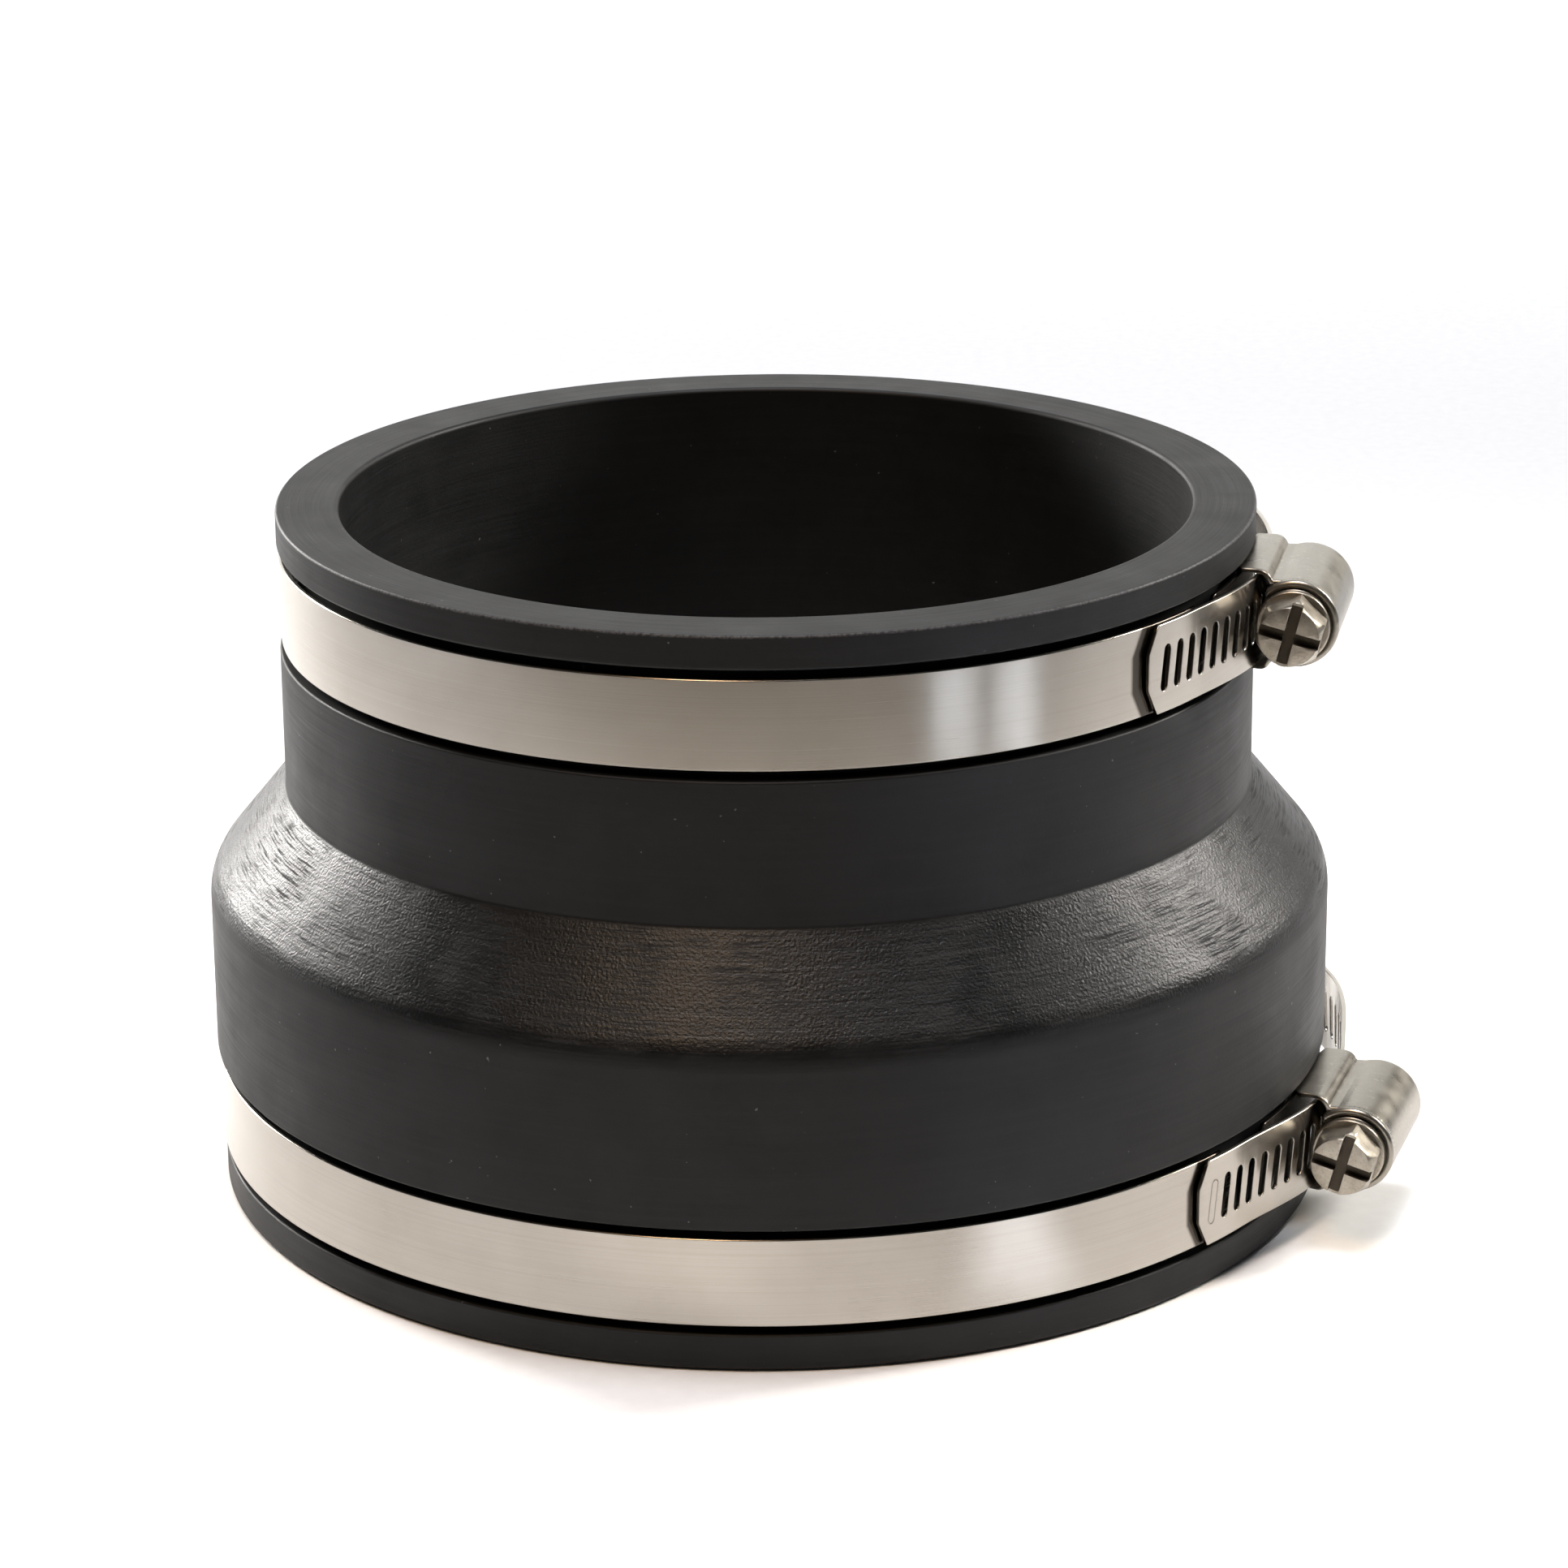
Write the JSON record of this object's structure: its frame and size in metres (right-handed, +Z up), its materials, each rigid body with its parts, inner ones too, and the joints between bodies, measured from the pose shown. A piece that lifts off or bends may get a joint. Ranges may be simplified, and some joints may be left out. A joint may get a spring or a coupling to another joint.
{
  "type": "pipe coupling",
  "caption": "Stepped rubber sleeve coupling that seals a smaller pipe to a larger pipe, gripped at each end by a worm-drive steel band clamp seated in a groove.",
  "frame": {"origin": "on the pipe axis, in the plane of the bottom face", "axes": "+Z up the pipe axis from the larger socket to the smaller; +X towards the side that the two screw housings sit on"},
  "size_m": [0.1767, 0.1638, 0.1006],
  "materials": {
    "rubber": "moulded black rubber, satin, fine turning marks",
    "band_steel": "bright rolled stainless strip, fine lengthwise brushing",
    "housing_steel": "pressed stainless, dull nickel tone",
    "screw_steel": "cold-headed steel screw, warm grey, slightly rough"
  },
  "bodies": {
    "sleeve": {"rubber_sleeve": "rubber"},
    "upper_clamp": {"upper_band": "band_steel", "upper_housing": "housing_steel"},
    "upper_strip": {"upper_slotted_strip": "band_steel"},
    "upper_screw": {"upper_worm_screw": "screw_steel"},
    "lower_clamp": {"lower_band": "band_steel", "lower_housing": "housing_steel"},
    "lower_strip": {"lower_slotted_strip": "band_steel"},
    "lower_screw": {"lower_worm_screw": "screw_steel"}
  },
  "joints": [
    {"name": "upper_clamp_turn", "type": "hinge", "parent": "sleeve", "child": "upper_clamp", "pos_m": [0, 0, 0.08805], "axis": [0, 0, 1], "continuous": true},
    {"name": "upper_screw_turn", "type": "hinge", "parent": "upper_clamp", "child": "upper_screw", "pos_m": [0.07584, -0.01667, 0.08805], "axis": [-0.2147, -0.9767, 0], "range_deg": [-1080, 720]},
    {"name": "upper_strip_feed", "type": "hinge", "parent": "upper_clamp", "child": "upper_strip", "pos_m": [0, 0, 0.08805], "axis": [0, 0, 1], "range_deg": [-7.6, 5.08]},
    {"name": "lower_clamp_turn", "type": "hinge", "parent": "sleeve", "child": "lower_clamp", "pos_m": [0, 0, 0.01295], "axis": [0, 0, 1], "continuous": true},
    {"name": "lower_screw_turn", "type": "hinge", "parent": "lower_clamp", "child": "lower_screw", "pos_m": [0.08536, -0.0279, 0.01295], "axis": [-0.3107, -0.9505, 0], "range_deg": [-1080, 720]},
    {"name": "lower_strip_feed", "type": "hinge", "parent": "lower_clamp", "child": "lower_strip", "pos_m": [0, 0, 0.01295], "axis": [0, 0, 1], "range_deg": [-6.52, 4.36]}
  ],
  "couplings": [
    {"joint": "upper_strip_feed", "follows": "upper_screw_turn", "ratio": 0.0069862},
    {"joint": "lower_strip_feed", "follows": "lower_screw_turn", "ratio": 0.0059882}
  ]
}
